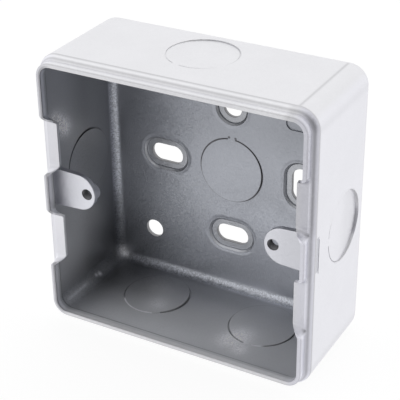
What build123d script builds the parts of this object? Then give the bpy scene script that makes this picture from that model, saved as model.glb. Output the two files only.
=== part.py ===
import os
from math import acos, asin, cos, degrees, radians, sin

from build123d import *

os.makedirs("parts", exist_ok=True)

# Open-fronted steel back box for one wall accessory, in millimetres.
# +Z is up and the opening faces -Y. The origin is on the wall plane, on the box's two centre lines,
# and every depth is counted from that plane towards the opening.

# Tub, drawn from one sheet
box_width = 86.0
box_height = 86.0
box_depth = 40.0
sheet = 1.2
corner_radius = 6.0
back_radius = 4.0

# Rim: the wall steps in by rim_inset and stands forward again as a lip
rim_inset = 1.43
lip_length = 2.3
shoulder_radius = 1.8
lip_root_radius = 0.5
fold_radius = 1.5

# Stretches of the side lips that are folded flat inwards
lip_middle_half = 5.3
fold_low = 8.7
fold_high = 21.8
lip_corner_start = 25.0
flange_reach = 5.3
folded_lean = 90.0
roll_steps = [(0.22, 0.1), (0.5, 0.5), (0.78, 0.9)]

# Knock-outs, sheared most of the way through, held by a thin web and one tie and tipped inwards about it
knockout_radius = 10.5
knockout_forward = 16.0
top_knockout_offset = -1.2
bottom_knockout_offset = 18.5
knockout_push = 0.8
top_knockout_push = 0.3
shear_width = 0.24
web_thickness = 0.12
tie_width = 2.4
top_tie_turn = -18.0
bottom_tie_turn = -28.0

# Screw slots in the back, each in a seat pressed out to the wall plane
slot_length = 10.9
slot_width = 6.0
slot_offset = 22.75
seat_height = 0.8
seat_margin = 1.65
seat_foot = 0.15
seat_brow = 0.75
seat_wall = 0.45
seat_edge = 0.35

# Plain hole and sunk pad, on opposite corners of the back
corner_offset = 27.75
plain_hole_radius = 3.0
pad_size = 20.0
pad_corner_radius = 2.0
pad_depth = 0.4

# Lugs for the accessory's two screws
screw_spacing = 60.3
screw_radius = 1.75
lug_setback = 4.75
lug_thickness = 1.6
lug_tip_reach = 2.75
lug_tip_radius = 5.7
lug_root_width = 12.4
lug_edge_radius = 0.25
tenon_width = 10.8
tenon_fit = 0.02
collar_radius = 2.7
collar_length = 1.4
stake_drop = 0.9
stake_depth = 2.4
stake_height = 0.12

# Places that follow from the sizes
half_width = box_width / 2
half_height = box_height / 2
inner_half_width = half_width - sheet
back_inside = seat_height + sheet
shoulder_angle = degrees(acos(1 - rim_inset / (shoulder_radius + lip_root_radius)))
shoulder_run = (shoulder_radius + lip_root_radius) * sin(radians(shoulder_angle))
rim_start = box_depth - lip_length - shoulder_run
shoulder_drop = shoulder_radius * (1 - cos(radians(shoulder_angle)))
flange_length = flange_reach - shoulder_drop - fold_radius * cos(radians(shoulder_angle))
lug_front = box_depth - lug_setback
lug_back = lug_front - lug_thickness
screw_x = screw_spacing / 2


def rim_section(height, lean, reach):
    """Cross-section of the right wall's rim at one height, its lip leaning inwards by so many degrees."""
    plane = Plane(origin=(0, 0, height), x_dir=(0, -1, 0), z_dir=(0, 0, 1))
    turn = shoulder_angle - lean
    outer_radius = lip_root_radius if turn > 0 else fold_radius
    inner_radius = lip_root_radius + sheet if turn > 0 else fold_radius - sheet
    with BuildSketch(plane) as section:
        with BuildLine():
            outer_bend = JernArc((rim_start, half_width), (1, 0), shoulder_radius, -shoulder_angle)
            outer_root = JernArc(outer_bend @ 1, outer_bend % 1, outer_radius, turn)
            outer_face = PolarLine(outer_root @ 1, reach, direction=outer_root % 1)
            inner_bend = JernArc(
                (rim_start, inner_half_width), (1, 0), shoulder_radius - sheet, -shoulder_angle
            )
            inner_root = JernArc(inner_bend @ 1, inner_bend % 1, inner_radius, turn)
            inner_face = PolarLine(inner_root @ 1, reach, direction=inner_root % 1)
            Line(outer_face @ 1, inner_face @ 1)
            Line(outer_bend @ 0, inner_bend @ 0)
        make_face()
    return section.sketch


def standing_section(height):
    return rim_section(height, 0, lip_length)


def folded_section(height):
    return rim_section(height, folded_lean, flange_length)


def rolling_section(height, share):
    return rim_section(height, folded_lean * share, lip_length + (flange_length - lip_length) * share)


def rolled_stretch(standing_height, folded_height):
    """Sections of a stretch that rolls from the standing lip to the folded flange, slow at both ends."""
    run = folded_height - standing_height
    middle = [rolling_section(standing_height + at * run, share) for at, share in roll_steps]
    return [standing_section(standing_height), *middle, folded_section(folded_height)]


# Right side of the rim between its corners: a standing stretch in the middle, a folded one on either hand
with BuildPart() as rim_side:
    extrude(standing_section(0), amount=lip_middle_half, both=True)
    loft(rolled_stretch(lip_middle_half, fold_low))
    extrude(folded_section(fold_low), amount=fold_high - fold_low)
    loft(rolled_stretch(lip_corner_start, fold_high))
    loft(rolled_stretch(-lip_middle_half, -fold_low))
    extrude(folded_section(-fold_high), amount=fold_high - fold_low)
    loft(rolled_stretch(-lip_corner_start, -fold_high))

# Standing rim over the top, from side to side round both corners
with BuildPart() as rim_arch:
    with BuildLine(Plane.XZ.offset(rim_start)) as arch_path:
        right_side = Line((half_width, lip_corner_start), (half_width, half_height - corner_radius))
        right_corner = JernArc(right_side @ 1, (0, 1), corner_radius, 90)
        top = Line(right_corner @ 1, (corner_radius - half_width, half_height))
        left_corner = JernArc(top @ 1, (-1, 0), corner_radius, 90)
        Line(left_corner @ 1, (-half_width, lip_corner_start))
    sweep(standing_section(lip_corner_start), path=arch_path.line)


# Each knock-out's plane lies on the wall's outside, its normal outwards and its X towards its tie,
# and is listed with how far the disc is pushed in opposite that tie
def wall_plane(x, z, outward, tie_turn=0):
    centre = (x, -(seat_height + knockout_forward), z)
    return Plane(origin=centre, x_dir=(0, -1, 0), z_dir=outward).rotated((0, 0, tie_turn))


knockouts = [
    (wall_plane(top_knockout_offset, half_height, (0, 0, 1), top_tie_turn), top_knockout_push),
    (wall_plane(half_width, 0, (1, 0, 0)), knockout_push),
    (wall_plane(-half_width, 0, (-1, 0, 0)), knockout_push),
    (wall_plane(bottom_knockout_offset, -half_height, (0, 0, -1)), knockout_push),
    (wall_plane(-bottom_knockout_offset, -half_height, (0, 0, -1), bottom_tie_turn), knockout_push),
    (Plane(origin=(0, -seat_height, 0), x_dir=(0, 0, 1), z_dir=(0, 1, 0)), knockout_push),
]

# Screw slots as centre and turn: the left and lower ones lie flat, the upper and right ones stand
slots = [
    ((-slot_offset, 0), 0),
    ((0, -slot_offset), 0),
    ((0, slot_offset), 90),
    ((slot_offset, 0), 90),
]


def slot_outline(depth, centre, turn, margin):
    with BuildSketch(Plane.XZ.offset(depth)) as outline:
        with Locations(centre):
            SlotOverall(slot_length + 2 * margin, slot_width + 2 * margin, rotation=turn)
    return outline.sketch


with BuildPart() as box_shell:
    with BuildSketch(Plane.XZ.offset(seat_height)):
        RectangleRounded(box_width, box_height, corner_radius)
    extrude(amount=rim_start - seat_height)
    fillet(faces().sort_by(Axis.Y)[-1].edges(), back_radius)
    offset(amount=-sheet, openings=faces().sort_by(Axis.Y)[0])

    # Seats pressed out of the back: steep at the foot, easing over the brow, then the slots through them
    for centre, turn in slots:
        extrude(slot_outline(0, centre, turn, seat_margin + seat_wall), amount=seat_height)
        chamfer(edges(Select.LAST).group_by(Axis.Y)[-1], seat_edge)
        loft([
            slot_outline(sheet, centre, turn, seat_margin),
            slot_outline(sheet + seat_height / 2, centre, turn, seat_margin + seat_foot),
            slot_outline(back_inside, centre, turn, seat_margin + seat_brow),
        ], ruled=True, mode=Mode.SUBTRACT)
        extrude(slot_outline(0, centre, turn, 0), amount=back_inside, mode=Mode.SUBTRACT)

    # Knock-outs: a round hole, the disc tipped into it, the web left by the shear and the tie
    for plane, push in knockouts:
        tilt = degrees(asin(push / (2 * knockout_radius)))
        with BuildSketch(plane):
            Circle(knockout_radius)
        extrude(amount=-sheet, mode=Mode.SUBTRACT)
        with BuildSketch(plane.location * Location((0, 0, -push / 2), (0, -tilt, 0))):
            Circle(knockout_radius - shear_width)
        extrude(amount=-sheet)
        with BuildSketch(plane.offset(-push)):
            Circle(knockout_radius)
            Circle(knockout_radius - 2 * shear_width, mode=Mode.SUBTRACT)
        extrude(amount=-web_thickness)
        with BuildSketch(plane):
            with Locations((knockout_radius, 0)):
                Rectangle(4 * shear_width, tie_width)
        extrude(amount=-sheet)

    # Pad, sunk inside and standing out behind
    with BuildSketch(Plane.XZ.offset(seat_height)):
        with Locations((corner_offset, corner_offset)):
            RectangleRounded(pad_size + 2 * seat_wall, pad_size + 2 * seat_wall, pad_corner_radius + seat_wall)
    extrude(amount=-pad_depth)
    with BuildSketch(Plane.XZ.offset(back_inside)):
        with Locations((corner_offset, corner_offset)):
            RectangleRounded(pad_size, pad_size, pad_corner_radius)
    extrude(amount=-pad_depth, mode=Mode.SUBTRACT)

    # Plain hole
    with BuildSketch(Plane.XZ.offset(seat_height)):
        with Locations((-corner_offset, -corner_offset)):
            Circle(plain_hole_radius)
    extrude(amount=sheet, mode=Mode.SUBTRACT)

    # Slits for the lugs' tenons, through both side walls
    with BuildSketch(Plane.XZ.offset(lug_back - tenon_fit)):
        with GridLocations(box_width - sheet, 0, 2, 1):
            Rectangle(2 * sheet, tenon_width + 2 * tenon_fit)
    extrude(amount=lug_thickness + 2 * tenon_fit, mode=Mode.SUBTRACT)

    # Low swelling of the wall behind each slit, where the tenon was staked
    with BuildSketch(Plane(origin=(half_width, tenon_fit - lug_back, 0), x_dir=(0, 1, 0), z_dir=(1, 0, 0))):
        with BuildLine():
            chord = Line((0, -tenon_width / 2 - stake_drop), (0, tenon_width / 2 - stake_drop))
            ThreePointArc(chord @ 0, (stake_depth, -stake_drop), chord @ 1)
        make_face()
    swelling = extrude(amount=stake_height)
    mirror(swelling, about=Plane.YZ)

    # Rim: both sides, then the arches over the top and under the bottom
    add(rim_side.part)
    mirror(rim_side.part, about=Plane.YZ)
    add(rim_arch.part)
    mirror(rim_arch.part, about=Plane.XY)

with BuildPart() as lug_right:
    # Tongue: a round tip and straight edges that open out towards the wall
    with BuildSketch(Plane.XZ.offset(lug_back)):
        with Locations((screw_x - lug_tip_reach + lug_tip_radius, 0)):
            Circle(lug_tip_radius)
        with BuildLine():
            root_x = inner_half_width - tenon_fit
            Line((root_x, -lug_root_width / 2), (root_x, lug_root_width / 2))
        make_hull()
    extrude(amount=lug_thickness)
    fillet(faces().sort_by(Axis.Y)[0].outer_wire().edges(), lug_edge_radius)

    # Tenon through the wall, flush with its outside
    with BuildSketch(Plane.XZ.offset(lug_back)):
        with Locations((half_width, 0)):
            Rectangle(sheet + 2 * tenon_fit, tenon_width, align=(Align.MAX, Align.CENTER))
    extrude(amount=lug_thickness)

    # Collar drawn out behind the tapped hole
    with BuildSketch(Plane.XZ.offset(lug_back)):
        with Locations((screw_x, 0)):
            Circle(collar_radius)
    extrude(amount=-collar_length)
    with BuildSketch(Plane.XZ.offset(lug_front)):
        with Locations((screw_x, 0)):
            Circle(screw_radius)
    extrude(amount=-(lug_thickness + collar_length), mode=Mode.SUBTRACT)

with BuildPart() as lug_left:
    mirror(lug_right.part, about=Plane.YZ)

box_shell.part.label = "box_shell"
lug_left.part.label = "lug_left"
lug_right.part.label = "lug_right"

export_step(box_shell.part, "parts/box_shell.step")
export_step(lug_left.part, "parts/lug_left.step")
export_step(lug_right.part, "parts/lug_right.step")
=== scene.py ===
import math
import bpy
import numpy as np
from mathutils import Matrix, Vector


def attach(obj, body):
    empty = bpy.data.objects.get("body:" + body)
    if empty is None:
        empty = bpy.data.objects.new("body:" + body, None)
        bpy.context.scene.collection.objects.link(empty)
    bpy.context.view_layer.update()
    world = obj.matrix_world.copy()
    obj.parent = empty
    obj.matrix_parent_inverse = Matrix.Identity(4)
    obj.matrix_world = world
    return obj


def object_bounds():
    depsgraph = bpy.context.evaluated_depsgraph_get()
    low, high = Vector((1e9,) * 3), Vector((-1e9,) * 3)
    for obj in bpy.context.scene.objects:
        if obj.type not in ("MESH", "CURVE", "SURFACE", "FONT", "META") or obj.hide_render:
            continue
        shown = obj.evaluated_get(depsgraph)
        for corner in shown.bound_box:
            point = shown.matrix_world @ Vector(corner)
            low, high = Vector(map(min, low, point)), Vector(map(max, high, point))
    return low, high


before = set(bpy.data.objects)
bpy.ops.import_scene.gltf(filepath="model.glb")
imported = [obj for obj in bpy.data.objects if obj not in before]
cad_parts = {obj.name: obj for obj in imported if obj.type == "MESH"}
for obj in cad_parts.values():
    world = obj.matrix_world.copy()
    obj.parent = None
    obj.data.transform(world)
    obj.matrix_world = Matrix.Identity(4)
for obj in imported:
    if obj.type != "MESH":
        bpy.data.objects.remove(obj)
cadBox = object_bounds()
scene = bpy.context.scene
scene.view_settings.view_transform = "Standard"
print("frame loaded:", ", ".join(sorted(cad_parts)))


class Sock:
    # one output of a node; sums and products of these add Math nodes to the same tree
    def __init__(self, socket):
        self.socket = socket
        self.tree = socket.id_data

    # inputs of a node, by name or number, as values or links
    @staticmethod
    def feed(node, inputs):
        for key, value in inputs.items():
            if isinstance(value, Sock):
                node.id_data.links.new(value.socket, node.inputs[key])
            else:
                node.inputs[key].default_value = value

    # a node of any kind: settings first, then its inputs
    @staticmethod
    def make(tree, kind, settings={}, inputs={}, out=0):
        node = tree.nodes.new(kind)
        for key, value in settings.items():
            setattr(node, key, value)
        Sock.feed(node, inputs)
        return Sock(node.outputs[out])

    def math(self, operation, *values):
        return Sock.make(self.tree, "ShaderNodeMath", {"operation": operation}, dict(enumerate(values)))

    def __add__(self, other):
        return self.math("ADD", self, other)

    __radd__ = __add__

    def __sub__(self, other):
        return self.math("SUBTRACT", self, other)

    def __rsub__(self, other):
        return self.math("SUBTRACT", other, self)

    def __mul__(self, other):
        return self.math("MULTIPLY", self, other)

    __rmul__ = __mul__

    def __truediv__(self, other):
        return self.math("DIVIDE", self, other)

    def __pow__(self, other):
        return self.math("POWER", self, other)

    def __rpow__(self, other):
        return self.math("POWER", other, self)

    def __abs__(self):
        return self.math("ABSOLUTE", self)

    def least(self, other):
        return self.math("MINIMUM", self, other)

    def most(self, other):
        return self.math("MAXIMUM", self, other)

    # soft step from 0 at the first value to 1 at the second, which may be the smaller
    def step(self, first, second):
        low, high = min(first, second), max(first, second)
        climb = Sock.make(self.tree, "ShaderNodeMapRange", {"interpolation_type": "SMOOTHSTEP"},
                          {"Value": self, "From Min": low, "From Max": high})
        return climb if first < second else 1 - climb

    # bell curve round a value, 1 at its middle
    def bell(self, middle, spread):
        return math.e ** (((self - middle) / spread) ** 2 * -1)

    # vector sums: the second operand is a vector, or a number for scale
    def vector(self, operation, other=None, out=0):
        key = "Scale" if operation == "SCALE" else 1
        inputs = {0: self} if other is None else {0: self, key: other}
        return Sock.make(self.tree, "ShaderNodeVectorMath", {"operation": operation}, inputs, out)

    def dot(self, other):
        return self.vector("DOT_PRODUCT", other, "Value")

    def parts(self):
        split = Sock.make(self.tree, "ShaderNodeSeparateXYZ", {}, {0: self}).socket.node
        return [Sock(o) for o in split.outputs]


def mixColour(share, first, second):
    return Sock.make(share.tree, "ShaderNodeMix", {"data_type": "RGBA"}, {0: share, 6: first, 7: second}, 2)


def heading(azimuth, elevation):          # unit vector; azimuth 0 is in front of the box, 90 on its right
    a, e = math.radians(azimuth), math.radians(elevation)
    return np.array([math.sin(a) * math.cos(e), -math.cos(a) * math.cos(e), math.sin(e)])


cameraView = {
    "place": (0.155945, -0.299012, 0.176044),
    "azimuth": 29.343,
    "elevation": 29.037,
    "roll": -0.703,
    "focal": 1255.8 / 400,                # as a share of the 400 px frame
    "sensor": 36.0,
    "nearest": 0.01,
}


# camera axes: back along its heading, right level, then right and up turned by the roll
def placeCamera(v):
    back = heading(v["azimuth"], v["elevation"])
    roll = math.radians(v["roll"])
    level = np.cross(-back, [0, 0, 1])
    level /= np.linalg.norm(level)
    up = np.cross(level, -back)
    turn = np.eye(4)
    turn[:3, 0] = math.cos(roll) * level + math.sin(roll) * up
    turn[:3, 1] = math.cos(roll) * up - math.sin(roll) * level
    turn[:3, 2] = back
    turn[:3, 3] = v["place"]
    data = bpy.data.cameras.new("camera")
    data.sensor_width = v["sensor"]
    data.lens = v["focal"] * v["sensor"]
    data.clip_start = v["nearest"]
    camera = bpy.data.objects.new("camera", data)
    camera.matrix_world = Matrix(turn.tolist())
    scene.collection.objects.link(camera)
    scene.camera = camera


placeCamera(cameraView)
print("camera placed")

# silver coat; lengths in mm, heights of the bump too
coatLook = {
    "outer": (0.85, 0.85, 0.875, 1),      # full coat
    "wall": (0.50, 0.508, 0.530, 1),      # thinner coat inside the tub, darker also as painted shade
    "back": (0.50, 0.517, 0.565, 1),      # and on its back
    # lug coat, darker than the full coat as painted shade
    "lug": (0.69, 0.695, 0.742, 1),
    # bare steel of the thread, darkened as painted shade in the hole
    "thread": (0.20, 0.20, 0.21, 1),
    "cut": (0.16, 0.16, 0.17, 1),         # sheared lines
    "edge": (0.34, 0.34, 0.35, 1),        # edges of the slots
    "worn": (0.95, 0.95, 0.99, 1),        # painted highlight on sprung places and on arcs that catch light
    "fillPaintedLight": (0.95, 0.95, 0.99, 1),        # painted light where coat fills a sheared corner
    "rim": (0.98, 0.98, 1.035),           # painted cooler tint of the light on the side rims
    "cloudScale": 0.07,
    "cloudBand": (0.3, 0.7),              # from thin to full coat
    "thin": 0.975,                        # share of the colour where the coat is thin
    "thinInside": 0.05,                   # and how much darker that is inside
    "seatWall": 0.7,                      # share of the wall's colour on the slots' seats
    "rough": 0.40,
    "roughCloud": 0.05,
    "roughFlake": 0.10,
    "roughEdge": 0.2,
    "flakeSize": 0.25,
    "flakeTilt": 0.14,
    "peelSize": 1.6,
    "peelHeight": 0.006,
    "shoulder": 0.13,                     # depth of the rounding round the slots' seats
    "dull": 0.75,                         # share of the coat without flakes, low down at the mouth
    "wornDull": 0.85,                     # and under the painted highlights on sprung places
    "sparkSize": 0.38,                    # flakes on bends and sprung places, with painted glint in their colour
    "sparkle": 0.5,
    "sparkTilt": 0.8,
    "sparkWorn": 1.3,                     # more sparkle under the painted highlights on sprung places
    "sparkBottom": 0.7,                   # and less of it on the bottom wall
    "lugShade": 0.97,
}
tubSize = {
    "half": 43.0,
    "corner": 6.0,
    "back": 4.0,                          # rounding between wall and back
    "backY": -0.8,
    "rimStart": 35.57,                    # rim, forward from the wall
    "rimEnd": 37.7,
    "rimInset": 1.43,
    "front": 40.0,
    "sheet": 1.0,                         # depth at which the outer coat ends
    "cornerBend": (0.2, 1.5),             # soft starts of the bends
    "backBend": (0.2, 1.2),
    "cornerShare": 0.4,
    "edgeAt": -42.0,                      # X and Z of the lower left edge
    "cornerAt": (-40, -4, -40),           # lower left corner of the back
}
slotSize = {
    "halfRun": 2.45,
    "radius": 3.0,
    "seat": 5.5,
    "seatDeep": 0.8,
    "seatY": (-3.2, -3.0),
    "offset": 22.75,
    "holeAt": -27.75,
    "padAt": 27.75,
    "padHalf": 10.3,
    "soft": 0.1,
}


# depth: distance from the tub's outer skin, below 0 inside it. In plan a rounded square, then the same
# rounding between wall and back, the walls shifted with the step of the rim; bend: 1 in rounded corners
def tubSkin(x, y, z, t):
    flat = t["half"] - t["corner"]
    qx, qz = abs(x) - flat, abs(z) - flat
    plan = (qx.most(0) ** 2 + qz.most(0) ** 2) ** 0.5 + qx.most(qz).least(0) - t["corner"]
    share = ((-1 * y - t["rimStart"]) / (t["rimEnd"] - t["rimStart"])).most(0).least(1)
    wall = plan + share ** 2 * t["rimInset"]
    u, v = wall + t["back"], y + (t["back"] - t["backY"])
    depth = (u.most(0) ** 2 + v.most(0) ** 2) ** 0.5 + u.most(v).least(0) - t["back"]
    upright = qx.step(*t["cornerBend"]) * qz.step(*t["cornerBend"]) * t["cornerShare"]
    bend = upright.most(u.step(*t["backBend"]) * v.step(*t["backBend"]))
    return depth, plan, bend


# distance from the nearest slot's middle line, and from the nearest of those or the plain hole's centre
def slotDistance(x, z, s):
    across = [(x + s["offset"], z), (x, z + s["offset"]), (z - s["offset"], x), (z, x - s["offset"])]
    runs = [((abs(a) - s["halfRun"]).most(0) ** 2 + b ** 2) ** 0.5 for a, b in across]
    near = runs[0].least(runs[1]).least(runs[2]).least(runs[3])
    return near, near.least(((x - s["holeAt"]) ** 2 + (z - s["holeAt"]) ** 2) ** 0.5)


# bands, each worked out from the named fields of the shell: rise goes from 0 at its first place to 1 at its
# second, bell is 1 at its middle, part is a region, rest is what a region or a share of it leaves, and either
# is the greater of two bands
def rise(name, first, second):
    return lambda field: field[name].step(first, second)


def bell(name, middle, spread):
    return lambda field: field[name].bell(middle, spread)


def part(name):
    return lambda field: field[name]


def rest(name, share=1):
    return lambda field: 1 - share * field[name]


def either(one, other):
    return lambda field: one(field).most(other(field))


# a region is the product of its bands
def region(field, bands):
    mask = bands[0](field)
    for band in bands[1:]:
        mask = mask * band(field)
    return mask


# sum of rows, each an amount and the bands it lies in
def areas(field, rows):
    total = 0
    for amount, *bands in rows:
        total = region(field, bands) * amount + total
    return total


# regions of the shell, each from those above it; forward is -Y, sideX and sideZ are without sign
seat, bore, flat = slotSize["seat"], slotSize["radius"], tubSize["half"] - tubSize["corner"]
shellRegions = {
    "back": [rise("y", -5.0, -2.6)],
    "walls": [rest("back")],
    "bottom": [rise("z", -38, -41)],
    "leftEdge": [bell("fromEdge", 0, 11)],
    "leftCorner": [bell("fromCorner", 0, 14)],
    "seat": [rise("slot", seat, seat - 0.3), part("back")],
    "slotEdge": [rise("opening", bore + 0.06, bore + 0.02), rise("y", -2.1, -1.95)],
    "outerWall": [rise("below", -0.5, -0.3), rise("forward", 4.0, 5.0), rise("forward", 35.6, 35.2)],
    "sideRim": [rise("y", -35.4, -36.2), rise("sideX", 36, 40)],
    "standing": [rise("plan", -1.8, -1.6)],                    # the lip where it isn't folded
    "fold": [rise("plan", -1.8, -2.0), rise("forward", 36.5, 36.9), rise("forward", 38.2, 37.8)],
    "foldRun": [rise("sideZ", 5.6, 6.6), rise("sideZ", 24.6, 23.6), rise("sideX", 34, 35)],
    "flange": [either(part("foldRun"), rise("plan", -2.7, -2.9)), rise("y", -36.2, -36.5)],
    "within": [rise("sheet", 0.08, -0.08)],                    # inner side of the sheet
    "innerLip": [part("within"), rest("flange")],
    "inside": [part("innerLip"), rise("y", -38.9, -37.4)],
    "shoulder": [rise("slot", seat + 1.1, seat - 0.1), part("back"), part("inside")],
    "dull": [part("within"), rise("y", -6, -24), rise("z", 20, -25), rest("leftEdge", 0.7)],
}
# painted light and shade on the thin coat inside, as shares of its colour
insidePaintedShading = [
    # painted light where the coat is dull, painted shade in the lower left corner and along the lower left
    # edge
    (0.30, part("dull")),
    (-0.10, part("leftCorner")),
    (-0.15, part("leftEdge")),
    (-0.20, part("walls"), rise("y", -16, -7), rise("x", 20, -15)),           # painted shade at the foot of the walls
    (-0.27, part("walls"), bell("y", -17, 7), rise("x", -14, -26)),           # painted shade half way along the left wall
    (0.30, part("bottom"), rise("y", -24, -35), rise("x", 22, -16), rest("leftEdge", 0.6)),   # painted light at the mouth
    (-0.15, part("bottom"), rise("x", 16, 30)),                               # painted shade at the right end of the bottom
    (-0.10, part("bottom"), bell("y", -10, 4), rise("x", -14, -6)),           # painted shade at the foot of the bottom
    (-0.11, part("bottom"), bell("y", -18, 9)),                               # painted shade round its knock-outs
    (0.55, part("bottom"), bell("y", -3.8, 0.9), rise("x", -14, 6)),          # painted highlight on the lower fillet
    (0.18, part("back"), bell("x", -18, 14)),                                 # painted light on the left part of the back
    (-0.07, part("back"), rise("x", 2, 22)),                                  # painted shade on the right part
    (-0.05, part("back"), rise("square", 250, 80)),                           # painted shade on the knock-out of the back
    (-0.18, part("back"), rise("z", 2, 18), rise("x", -25, -5)),              # painted shade on the upper part
    (0.14, part("back"), rise("z", -6, -16), rise("x", -15, 0)),              # painted light on the lower part, in two steps
    (0.14, part("back"), rise("z", -6, -16), rise("x", 4, 16)),
    (0.45, part("bend"), rise("x", -36, -39), rise("z", -22, -12)),           # painted highlight on the left fillet, with painted shade lower down
    (-0.25, part("bend"), rise("x", -36, -39), rise("z", -16, -28)),
    (0.35, bell("slant", 0, 0.7), rise("x", -38.5, -39.5),                    # painted highlight along a crease in it
     rise("y", -22, -25), rise("y", -35, -33)),
    (0.12, part("seat")),                                                     # painted light on the flat of the slots' seats
]
# painted shade lines along the inside of the lip
lipPaintedShade = [
    (-0.38, part("innerLip"), bell("forward", 37.1, 0.35)),
    (-0.12, part("innerLip"), bell("forward", 38.1, 0.25)),
]
# painted light and shade of the full coat outside, in lines and areas
outsidePaintedLight = [
    (-0.27, part("standing"), bell("forward", 35.75, 0.36)),                  # painted shade at the start of the rim's bend
    # painted highlight on the bend
    (0.10, part("standing"), bell("forward", 36.60, 0.22)),
    (-0.18, part("standing"), bell("forward", 37.10, 0.16)),                  # painted shade on the crest
    (-0.12, part("standing"), bell("forward", 37.55, 0.15)),                  # painted shade at the root of the lip
    # painted highlight on the lip
    (0.12, part("standing"), bell("forward", 38.80, 0.50)),
    (-0.20, part("standing"), bell("forward", 39.85, 0.20)),                  # painted shade on the front edge
    (-0.12, rise("forward", tubSize["front"] - 0.1, tubSize["front"] - 0.02)),    # painted shade on the cut edge of the sheet
    (-0.42, rise("forward", 39.3, 39.8), rise("plan", -1.6, -2.4), rise("x", -36, -40)),     # painted shade on the left lip
    (-0.04, part("fold")),                                                    # painted shade on all four folds
    (0.185, part("fold"), rise("x", 20, -20)),                                # painted light on the left ones
    (-0.26, part("fold"), rise("x", 20, -20), rise("z", -8, 8)),              # painted shade on the upper left
    (-0.14, part("fold"), rise("x", -20, 20), rise("z", -12, 8)),             # painted shade on the upper right
    (-0.14, rise("x", 34, 36), rise("z", 5, 9), rise("forward", 35.8, 36.4)),     # and its roll
    (-0.20, part("outerWall"), bell("x", flat, 0.42), rise("sideZ", 41, 42)),     # painted dark reflection at the start of the corner, on the right
    # painted shade line where the side walls run into their corners
    (-0.06, part("outerWall"), bell("sideZ", flat + 0.4, 1.3), rise("sideX", 41, 42)),
    (0.055, part("outerWall"), rise("x", 41, 42.5)),                          # painted light on the right wall
]
# shares of the rim's painted cooler tint: less on the left rim, and some on the right wall
rimPaintedTint = [(0.5, part("sideRim")), (0.5, part("sideRim"), rise("x", -5, 5))]
wallPaintedTint = [(0.35, rise("x", 41, 42.5))]
# painted light and shade on the lugs: lighter towards their tips, and the left one altogether
lugPaintedShading = [(0.10, rise("sideX", 36, 28)), (0.09, rise("x", 10, -10))]
# places where the sheet is sprung or nicked, with a painted highlight: centre, spread, height inwards,
# painted brightening
sprung = [
    ((-15.3, -21.9, -41.8), 2.4, 0.22, 0.5),
    ((15.2, -24.8, -41.8), 2.9, 0.27, 1.0),
    ((12.4, -28.6, -41.8), 2.6, 0.20, 0.8),
    ((18.0, -31.0, -41.8), 1.6, 0.10, 0.8),
    ((-41.8, -32.6, 20.4), 1.7, 0.12, 1.0),
    ((-41.8, -30.0, 17.8), 2.1, 0.15, 1.0),
    ((-41.8, -27.4, 15.6), 1.8, 0.12, 0.9),
    ((-39.3, -3.4, -39.0), 1.3, 0.10, 0.8),
    ((-40.2, -16.6, -40.6), 0.5, 0.10, 0.6),
    ((-40.5, -18.2, -40.3), 0.4, 0.08, 0.5),
]


# fields of the shell by name: places, distances and regions
def shellFields(spot, t, s):
    x, y, z = spot.parts()
    below, plan, bend = tubSkin(x, y, z, t)
    slot, opening = slotDistance(x, z, s)
    pad = abs(x - s["padAt"]).most(abs(z - s["padAt"]))
    pressed = slot.step(s["seat"] + s["soft"], s["seat"])
    pressed = pressed.most(pad.step(s["padHalf"] + s["soft"], s["padHalf"]))
    field = {
        "x": x, "y": y, "z": z, "forward": -1 * y, "sideX": abs(x), "sideZ": abs(z),
        "slant": x - z,
        "square": x ** 2 + z ** 2,        # of the distance from the middle
        "below": below, "plan": plan, "bend": bend, "slot": slot, "opening": opening,
        "sheet": below + t["sheet"] - s["seatDeep"] * pressed * y.step(*s["seatY"]),
        "fromEdge": ((x - t["edgeAt"]) ** 2 + (z - t["edgeAt"]) ** 2) ** 0.5,
        "fromCorner": spot.vector("DISTANCE", t["cornerAt"], "Value"),
    }
    for name, bands in shellRegions.items():
        field[name] = region(field, bands)
    return field


# sheared rings of the knock-outs
shearSize = {
    "radius": 10.38,
    "width": (0.4, 0.1),
    "reach": (2.6, 2.2),                  # each way from the disc's plane
    "tie": (0.994, 0.991),                # cosines, where the ring is open
    "lightSoft": 5,                       # soft ends of the arcs, in degrees
    "filledSoft": 14,
    "nick": (0.55, 0.25),
}
# centre, normal, direction of the tie and darkness of the shear line of each knock-out. Arcs are directions
# with half angles: light is a painted highlight where the ring catches light, and on filled the coat has
# rounded the sheared edge over, so that its face leans outwards, with a share of it pale as painted light,
# without flakes
knockouts = [
    {"centre": (-1.2, -16.8, 43), "normal": (0, 0, 1), "tie": -18, "dark": 0.2,
     "filled": [(-38, 112)], "lean": 3.0, "paleLight": 0.1},
    {"centre": (43, -16.8, 0), "normal": (1, 0, 0), "tie": 0, "dark": 0.1,
     "filled": [(-92, 78), (96, 36)], "lean": 1.0, "paleLight": 0.95},
    {"centre": (-43, -16.8, 0), "normal": (-1, 0, 0), "tie": 0, "dark": 0.65},
    {"centre": (18.5, -16.8, -43), "normal": (0, 0, -1), "tie": 0, "dark": 0.6, "light": (-12, 14)},
    {"centre": (-18.5, -16.8, -43), "normal": (0, 0, -1), "tie": -28, "dark": 0.55, "light": (10, 42)},
    {"centre": (0, -0.8, 0), "normal": (0, 1, 0), "tie": 0, "dark": 1.0},
]
# dents at the tie of the back's knock-out
nicks = [(-0.86, -2.0, 10.84), (1.35, -2.0, 10.82)]


# arc of a ring from the cosine of the angle off its middle
def softArc(cosine, half, soft):
    return cosine.step(math.cos(math.radians(half + soft)), math.cos(math.radians(half - soft)))
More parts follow.
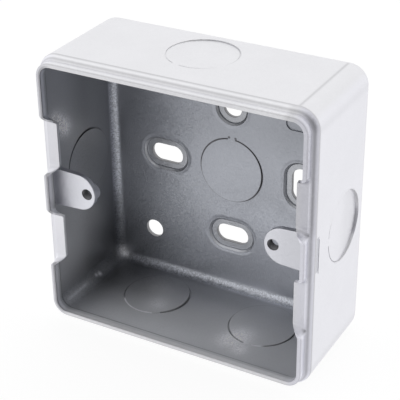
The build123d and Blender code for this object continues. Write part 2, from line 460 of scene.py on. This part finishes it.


# along the sheared ring of each knock-out, open at its tie: how dark it is, its painted highlight and painted
# light, and how its face leans
def shearLines(spot, s):
    dark, light, paleLight = 0, 0, 0
    leans = []
    for k in knockouts:
        normal = np.array(k["normal"], float)
        ahead = np.array([0, 0, 1.0] if normal[1] else [0, -1.0, 0])
        beside = np.cross(normal, ahead)
        offset = spot.vector("SUBTRACT", k["centre"])
        depth = offset.dot(tuple(normal))
        far = (offset.dot(offset) - depth ** 2).most(0.01) ** 0.5     # from the axis, never quite 0

        # cosine of the angle from a direction in the disc's plane
        def along(turn):
            a = math.radians(turn)
            return offset.dot(tuple(ahead * math.cos(a) + beside * math.sin(a))) / far

        ring = abs(far - s["radius"]).step(*s["width"]) * abs(depth).step(*s["reach"])
        ring = ring * along(k["tie"]).step(*s["tie"])
        if "light" in k:
            turn, half = k["light"]
            lit = softArc(along(turn), half, s["lightSoft"])
            light = ring * lit + light
            ring = ring * (1 - lit)
        for turn, half in k.get("filled", []):
            arc = softArc(along(turn), half, s["filledSoft"])
            paleLight = ring * arc * k["paleLight"] + paleLight
            leans.append(Sock.make(spot.tree, "ShaderNodeVectorMath", {"operation": "SCALE"},
                                   {0: tuple(normal * k["lean"]), "Scale": ring * arc}))
            ring = ring * (1 - arc)
        dark = ring * k["dark"] + dark
    for nick in nicks:
        dark = spot.vector("DISTANCE", nick, "Value").step(*s["nick"]).most(dark)
    lean = leans[0]
    for more in leans[1:]:
        lean = lean.vector("ADD", more)
    return dark, light, paleLight, lean


# shell: full coat outside and thin inside with painted light and shade, then sprung places, shear lines,
# slots' edges
def dressShell(spot, look, coat):
    field = shellFields(spot, tubSize, slotSize)
    inside, slotEdge = field["inside"], field["slotEdge"]
    deep = mixColour(field["back"] * (1 - look["seatWall"] * field["seat"]), look["wall"], look["back"])
    deep = deep.vector("SCALE", 1 + areas(field, insidePaintedShading) - look["thinInside"] * (1 - coat["full"]))
    tone = coat["tone"].vector("SCALE", 1 + areas(field, outsidePaintedLight))
    tint = areas(field, rimPaintedTint).most(areas(field, wallPaintedTint))
    tone = mixColour(tint, tone, tone.vector("MULTIPLY", look["rim"]))
    tone = mixColour(inside, tone, deep)

    height = coat["height"] - look["shoulder"] * field["shoulder"]
    paintedHighlight = 0
    for centre, spread, swollen, bright in sprung:
        away = spot.vector("SUBTRACT", centre)
        swell = math.e ** (away.dot(away) * (-0.5 / spread ** 2)) * inside
        height = height + swell * swollen
        paintedHighlight = swell * bright + paintedHighlight
    paintedHighlight = paintedHighlight.least(1)
    sparkLift = paintedHighlight * (look["sparkWorn"] - look["sparkBottom"] * field["bottom"])
    spark = (inside * field["bend"]).most(sparkLift)
    sparks = Sock.make(spot.tree, "ShaderNodeTexVoronoi", {},
                       {"Vector": spot, "Scale": 1 / look["sparkSize"]}, "Color").parts()[1]

    dark, light, paleLight, lean = shearLines(spot, shearSize)
    # painted highlights and painted light, then painted shade lines on the lip and painted glint of the
    # flakes
    tone = mixColour(paintedHighlight.most(light), tone, look["worn"])
    tone = mixColour(paleLight, tone, look["fillPaintedLight"])
    tone = tone.vector("SCALE", 1 + areas(field, lipPaintedShade) + spark * look["sparkle"] * (sparks - 0.5))
    tone = mixColour(slotEdge, tone, look["edge"])
    coat["tone"] = mixColour(dark, tone, look["cut"])
    coat["rough"] = coat["rough"] + slotEdge * look["roughEdge"]
    coat["metal"] = 1 - (field["dull"] * look["dull"]).most(paintedHighlight * look["wornDull"]).most(paleLight)
    coat["height"] = height
    coat["tilt"] = coat["tilt"] * (1 + look["sparkTilt"] * spark)
    coat["face"] = coat["face"].vector("ADD", lean)


# painted light and shade of the lugs, also on the threads
def dressLug(spot, look, coat):
    x = spot.parts()[0]
    shade = areas({"x": x, "sideX": abs(x)}, lugPaintedShading)
    coat["tone"] = coat["tone"].vector("SCALE", look["lugShade"] + shade)


# ground of every coat: cloudy colour, orange peel and tilted flakes, which dress then adds to
def silverCoat(name, look, colour, dress):
    material = bpy.data.materials.new(name)
    material.use_nodes = True
    tree = material.node_tree
    spot = Sock.make(tree, "ShaderNodeTexCoord", out="Object").vector("SCALE", 1000.0)     # in mm
    cloud = Sock.make(tree, "ShaderNodeTexNoise", {},
                      {"Vector": spot, "Scale": look["cloudScale"], "Detail": 3.0})
    peel = Sock.make(tree, "ShaderNodeTexNoise", {},
                     {"Vector": spot, "Scale": 1 / look["peelSize"], "Detail": 2.0})
    flakes = Sock.make(tree, "ShaderNodeTexVoronoi", {},
                       {"Vector": spot, "Scale": 1 / look["flakeSize"]}, "Color")
    full = cloud.step(*look["cloudBand"])
    thin = [c * look["thin"] for c in colour[:3]] + [1]
    coat = {
        "full": full,
        "tone": mixColour(full, thin, colour),
        "rough": look["rough"] + look["roughCloud"] * cloud + look["roughFlake"] * (flakes.parts()[0] - 0.5),
        "metal": 1.0,
        "height": peel * look["peelHeight"],
        "tilt": look["flakeTilt"],
        "face": Sock.make(tree, "ShaderNodeNewGeometry", out="Normal"),
    }
    dress(spot, look, coat)
    tilt = flakes.vector("SUBTRACT", (0.5, 0.5, 0.5)).vector("SCALE", coat["tilt"])
    grain = tilt.vector("ADD", coat["face"]).vector("NORMALIZE")
    bump = Sock.make(tree, "ShaderNodeBump", {},
                     {"Strength": 1.0, "Distance": 0.001, "Height": coat["height"], "Normal": grain})
    Sock.feed(tree.nodes["Principled BSDF"], {
        "Base Color": coat["tone"], "Roughness": coat["rough"], "Metallic": coat["metal"], "Normal": bump})
    return material


shellCoat = silverCoat("shell_coat_silver", coatLook, coatLook["outer"], dressShell)
lugCoat = silverCoat("lug_coat_silver", coatLook, coatLook["lug"], dressLug)
threadSteel = silverCoat("thread_steel", coatLook, coatLook["thread"], dressLug)
for name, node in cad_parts.items():
    node.data.materials[0] = shellCoat if name == "box_shell" else lugCoat
print("coat on", len(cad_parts), "nodes")

# tapped thread in each lug, in metres
threadSize = {
    "screwX": 0.03015,
    "front": -0.0352,
    "length": 0.0029,
    "outer": 0.001744,
    "crest": 0.00145,
    "pitch": 0.0006,
    "leadIn": 0.7,                        # in pitches, at each end
    "wall": 0.00002,                      # sleeve at its thinnest
    "round": 96,
    "along": 61,
}


# sleeve: radius = outer less a rounded ridge, sin squared of half the turn that depth and angle make,
# fading at both ends, and closed behind by a plain cylinder at the outer radius
def threadSleeve(name, side, s):
    turns = np.linspace(0, 2 * np.pi, s["round"], endpoint=False)
    angle, share = np.meshgrid(turns, np.linspace(0, 1, s["along"]))
    depth = share * s["length"]
    ridge = np.sin(np.pi * depth / s["pitch"] - angle / 2) ** 2
    lead = np.clip(np.minimum(share, 1 - share) * s["length"] / s["pitch"] / s["leadIn"], 0, 1)
    radius = s["outer"] - s["wall"] - (s["outer"] - s["crest"]) * ridge * lead
    skins = [(radius, depth), (np.full_like(radius, s["outer"]), depth[::-1])]
    rings = np.concatenate([
        np.stack([side * s["screwX"] + r * np.cos(angle), s["front"] + d, r * np.sin(angle)], -1)
        for r, d in skins])
    rows, cols = rings.shape[:2]
    i, j = np.meshgrid(np.arange(rows), np.arange(cols), indexing="ij")
    down, over = (i + 1) % rows, (j + 1) % cols
    faces = np.stack([i * cols + j, down * cols + j, down * cols + over, i * cols + over], -1).reshape(-1, 4)
    mesh = bpy.data.meshes.new(name)
    mesh.from_pydata(rings.reshape(-1, 3).tolist(), [], faces.tolist())
    mesh.polygons.foreach_set("use_smooth", np.ones(len(faces), bool))
    mesh.materials.append(threadSteel)
    piece = bpy.data.objects.new(name, mesh)
    scene.collection.objects.link(piece)
    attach(piece, "root")


threadSleeve("thread_left", -1, threadSize)
threadSleeve("thread_right", 1, threadSize)
print("threads cut")

studio = {
    "floorZ": cadBox[0].z,
    "floorHalf": 3.0,
    "floorColour": (0.9, 0.9, 0.9, 1),
    "floorGlow": 0.85,
    "floorWhite": 1.06,
    "level": 0.80,
    "darkest": 0.02,
    "behind": (209, 10),                  # middle of the white backdrop
    "behindBand": (-0.15, 0.2),           # cosines, where it fades in
    "panels": [                           # heading, power of the half cosine and light added
        (190, -5, 4, 0.48),
        (325, -5, 12, 0.36),
        (48, 8, 7, -0.62),                # dark on the camera's side
    ],
}


# 1 for what is looked at straight, in metal and through glass
def lightPaths(tree):
    kinds = ("Is Camera Ray", "Is Glossy Ray", "Is Transmission Ray")
    return [Sock.make(tree, "ShaderNodeLightPath", out=kind) for kind in kinds]


def layFloor(s):
    h, z = s["floorHalf"], s["floorZ"]
    mesh = bpy.data.meshes.new("floor")
    mesh.from_pydata([(-h, -h, z), (h, -h, z), (h, h, z), (-h, h, z)], [], [(0, 1, 2, 3)])
    floor = bpy.data.objects.new("floor", mesh)
    floor.visible_glossy = False          # metal shows the white surround, which goes on below the floor
    scene.collection.objects.link(floor)
    material = bpy.data.materials.new("floor_paper")
    material.use_nodes = True
    tree = material.node_tree
    tree.nodes.remove(tree.nodes["Principled BSDF"])
    paper = Sock.make(tree, "ShaderNodeBsdfDiffuse", {}, {"Color": s["floorColour"]})
    white = Sock.make(tree, "ShaderNodeEmission", {}, {"Strength": s["floorWhite"]})
    camera, mirror, through = lightPaths(tree)
    seen = camera.most(mirror).most(through)
    both = Sock.make(tree, "ShaderNodeMixShader", {}, {0: seen * s["floorGlow"], 1: paper, 2: white})
    Sock.feed(tree.nodes["Material Output"], {"Surface": both})
    mesh.materials.append(material)


# soft white all round, and wide panels on it: half cosine of the angle from each heading, to a power
def lightWorld(s):
    world = bpy.data.worlds.new("studio")
    scene.world = world
    world.use_nodes = True
    tree = world.node_tree
    tree.nodes.remove(tree.nodes["Background"])
    toward = Sock.make(tree, "ShaderNodeTexCoord", out="Generated")
    glow = s["level"]
    for azimuth, elevation, power, amount in s["panels"]:
        glow = amount * (0.5 + 0.5 * toward.dot(tuple(heading(azimuth, elevation)))) ** power + glow
    plain = (1, 1, 1, 1)
    light = Sock.make(tree, "ShaderNodeBackground", {}, {"Color": plain, "Strength": glow.most(s["darkest"])})
    white = Sock.make(tree, "ShaderNodeBackground", {}, {"Color": plain, "Strength": 1.0})
    camera, mirror, through = lightPaths(tree)
    behind = toward.dot(tuple(heading(*s["behind"]))).step(*s["behindBand"])
    seen = camera.most(mirror.most(through) * behind)
    both = Sock.make(tree, "ShaderNodeMixShader", {}, {0: seen, 1: light, 2: white})
    Sock.feed(tree.nodes["World Output"], {"Surface": both})


layFloor(studio)
lightWorld(studio)
print("studio lit")
